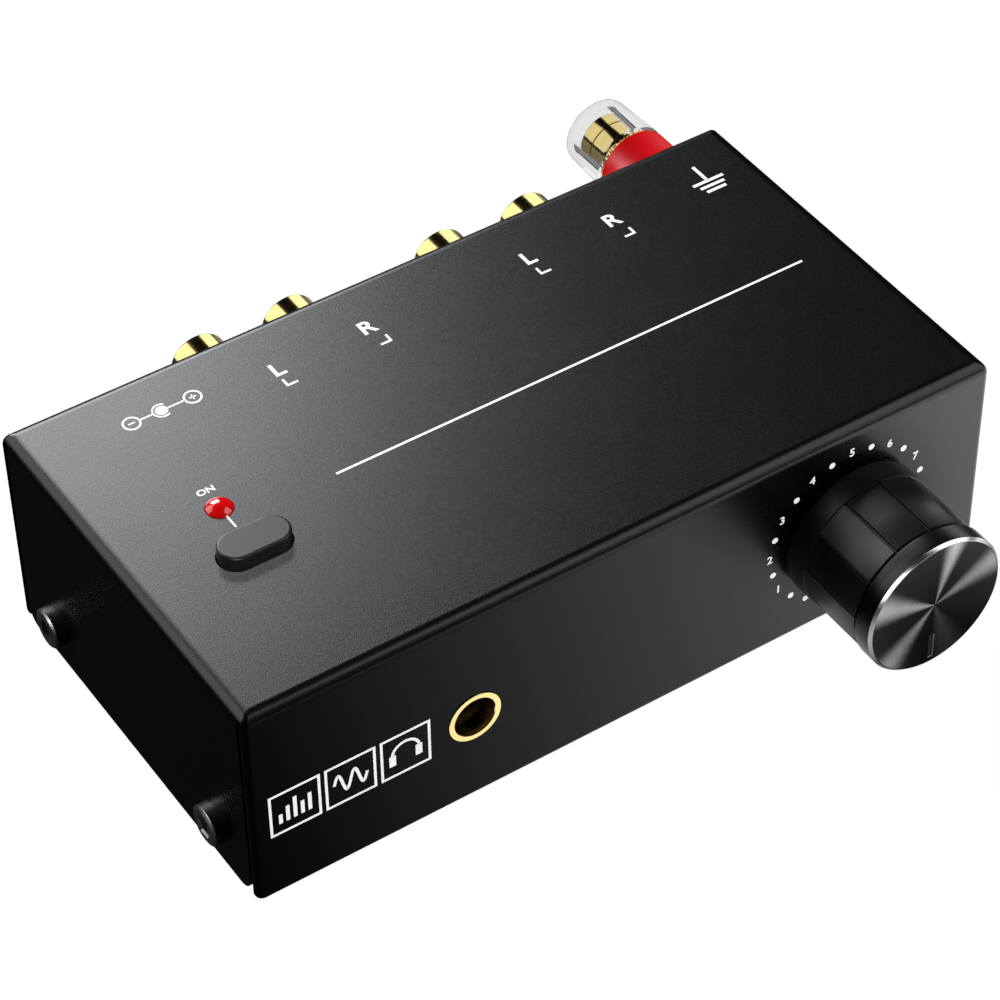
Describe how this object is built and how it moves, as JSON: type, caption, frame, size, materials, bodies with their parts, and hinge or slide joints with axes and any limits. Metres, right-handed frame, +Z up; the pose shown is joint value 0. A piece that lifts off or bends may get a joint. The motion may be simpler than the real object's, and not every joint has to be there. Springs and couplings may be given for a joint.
{
  "type": "phono preamp",
  "caption": "Small desk-top phono preamplifier in a folded black steel case with a volume knob, headphone socket, power button, lamp, signal jacks and a ground post.",
  "frame": {"origin": "on the surface that the feet stand on, under the middle of the whole footprint, knob and ground post included", "axes": "+X to the right as seen from the front, along the longest side; +Y from the front panel with the knob to the rear panel with the jacks; +Z up"},
  "size_m": [0.113, 0.0938, 0.0358],
  "materials": {
    "case_paint": "fine satin black powder coat",
    "tray_paint": "satin black paint",
    "foot_rubber": "matt moulded rubber",
    "screw_black": "black zinc plate",
    "screw_steel": "bright zinc plate",
    "standoff_brass": "turned brass",
    "pot_plastic": "moulded phenolic",
    "bush_metal": "nickel plate",
    "tinned_metal": "tinned",
    "shaft_steel": "turned",
    "knob_black": "satin black moulding",
    "knob_metal": "black anodised, spun face",
    "gilt": "gold plate",
    "socket_black": "moulded black plastic",
    "plunger_white": "acetal",
    "spring_steel": "drawn wire",
    "button_plastic": "satin black moulding",
    "lamp_red": "tinted epoxy",
    "spacer_nylon": "natural nylon",
    "insulator_white": "moulded white plastic",
    "insulator_red": "moulded red plastic",
    "collar_red": "glossy red moulding",
    "cap_clear": "clear acrylic",
    "wire_green": "green insulation",
    "chip_black": "moulded epoxy",
    "can_sleeve": "shrink sleeve",
    "film_red": "dipped epoxy",
    "resistor_blue": "lacquer",
    "board_green": "solder mask"
  },
  "bodies": {
    "case": {"base_tray": "tray_paint", "board_screws": "screw_steel", "board_standoffs": "standoff_brass", "circuit_board": "board_green", "cover": "case_paint", "dc_contacts": "tinned_metal", "dc_pin": "bush_metal", "dc_socket": "socket_black", "electrolytic_capacitors": "can_sleeve", "film_capacitors": "film_red", "ground_wire": "wire_green", "headphone_contacts": "tinned_metal", "headphone_ring": "gilt", "headphone_socket": "socket_black", "lamp_leads": "tinned_metal", "lamp_lens": "lamp_red", "lamp_spacer": "spacer_nylon", "op_amps": "chip_black", "post_collar": "collar_red", "post_lug": "tinned_metal", "post_nut": "bush_metal", "post_stud": "gilt", "post_washer": "spacer_nylon", "pot_body": "pot_plastic", "pot_bush": "bush_metal", "pot_nut": "bush_metal", "pot_terminals": "tinned_metal", "pot_washer": "bush_metal", "rca_contacts": "gilt", "rca_housing_input": "socket_black", "rca_housing_output": "socket_black", "rca_insulators_left": "insulator_white", "rca_insulators_right": "insulator_red", "rca_screws": "screw_black", "rca_shell_input_left": "gilt", "rca_shell_input_right": "gilt", "rca_shell_output_left": "gilt", "rca_shell_output_right": "gilt", "rectifier_diode": "chip_black", "resistors": "resistor_blue", "rubber_feet": "foot_rubber", "side_screws": "screw_black", "switch_body": "socket_black", "switch_spring": "spring_steel", "switch_terminals": "tinned_metal", "voltage_regulator": "chip_black"},
    "knob": {"knob_body": "knob_black", "knob_cap": "knob_metal", "pot_shaft": "shaft_steel"},
    "button": {"power_button": "button_plastic", "switch_plunger": "plunger_white"},
    "clamp_washer": {"post_clamp_washer": "gilt"},
    "ground_cap": {"post_cap": "cap_clear", "post_thimble": "gilt"}
  },
  "joints": [
    {"name": "knob_turn", "type": "hinge", "parent": "case", "child": "knob", "pos_m": [0.03327, -0.0289, 0.0175], "axis": [0, 1, 0], "range_deg": [0, 300]},
    {"name": "power_press", "type": "slide", "parent": "case", "child": "button", "axis": [0, 0, -1], "range_m": [0, 0.0016], "stiffness_N_per_m": 900, "springref_m": -0.001, "deforming": ["switch_spring"]},
    {"name": "post_travel", "type": "slide", "parent": "case", "child": "clamp_washer", "axis": [0, 1, 0], "range_m": [0, 0.003]},
    {"name": "post_turn", "type": "hinge", "parent": "clamp_washer", "child": "ground_cap", "pos_m": [0.0469, 0.0305, 0.0254], "axis": [0, 1, 0], "range_deg": [0, 1440]}
  ],
  "couplings": [
    {"joint": "post_turn", "follows": "post_travel", "rad_per_m": 8377.6}
  ]
}
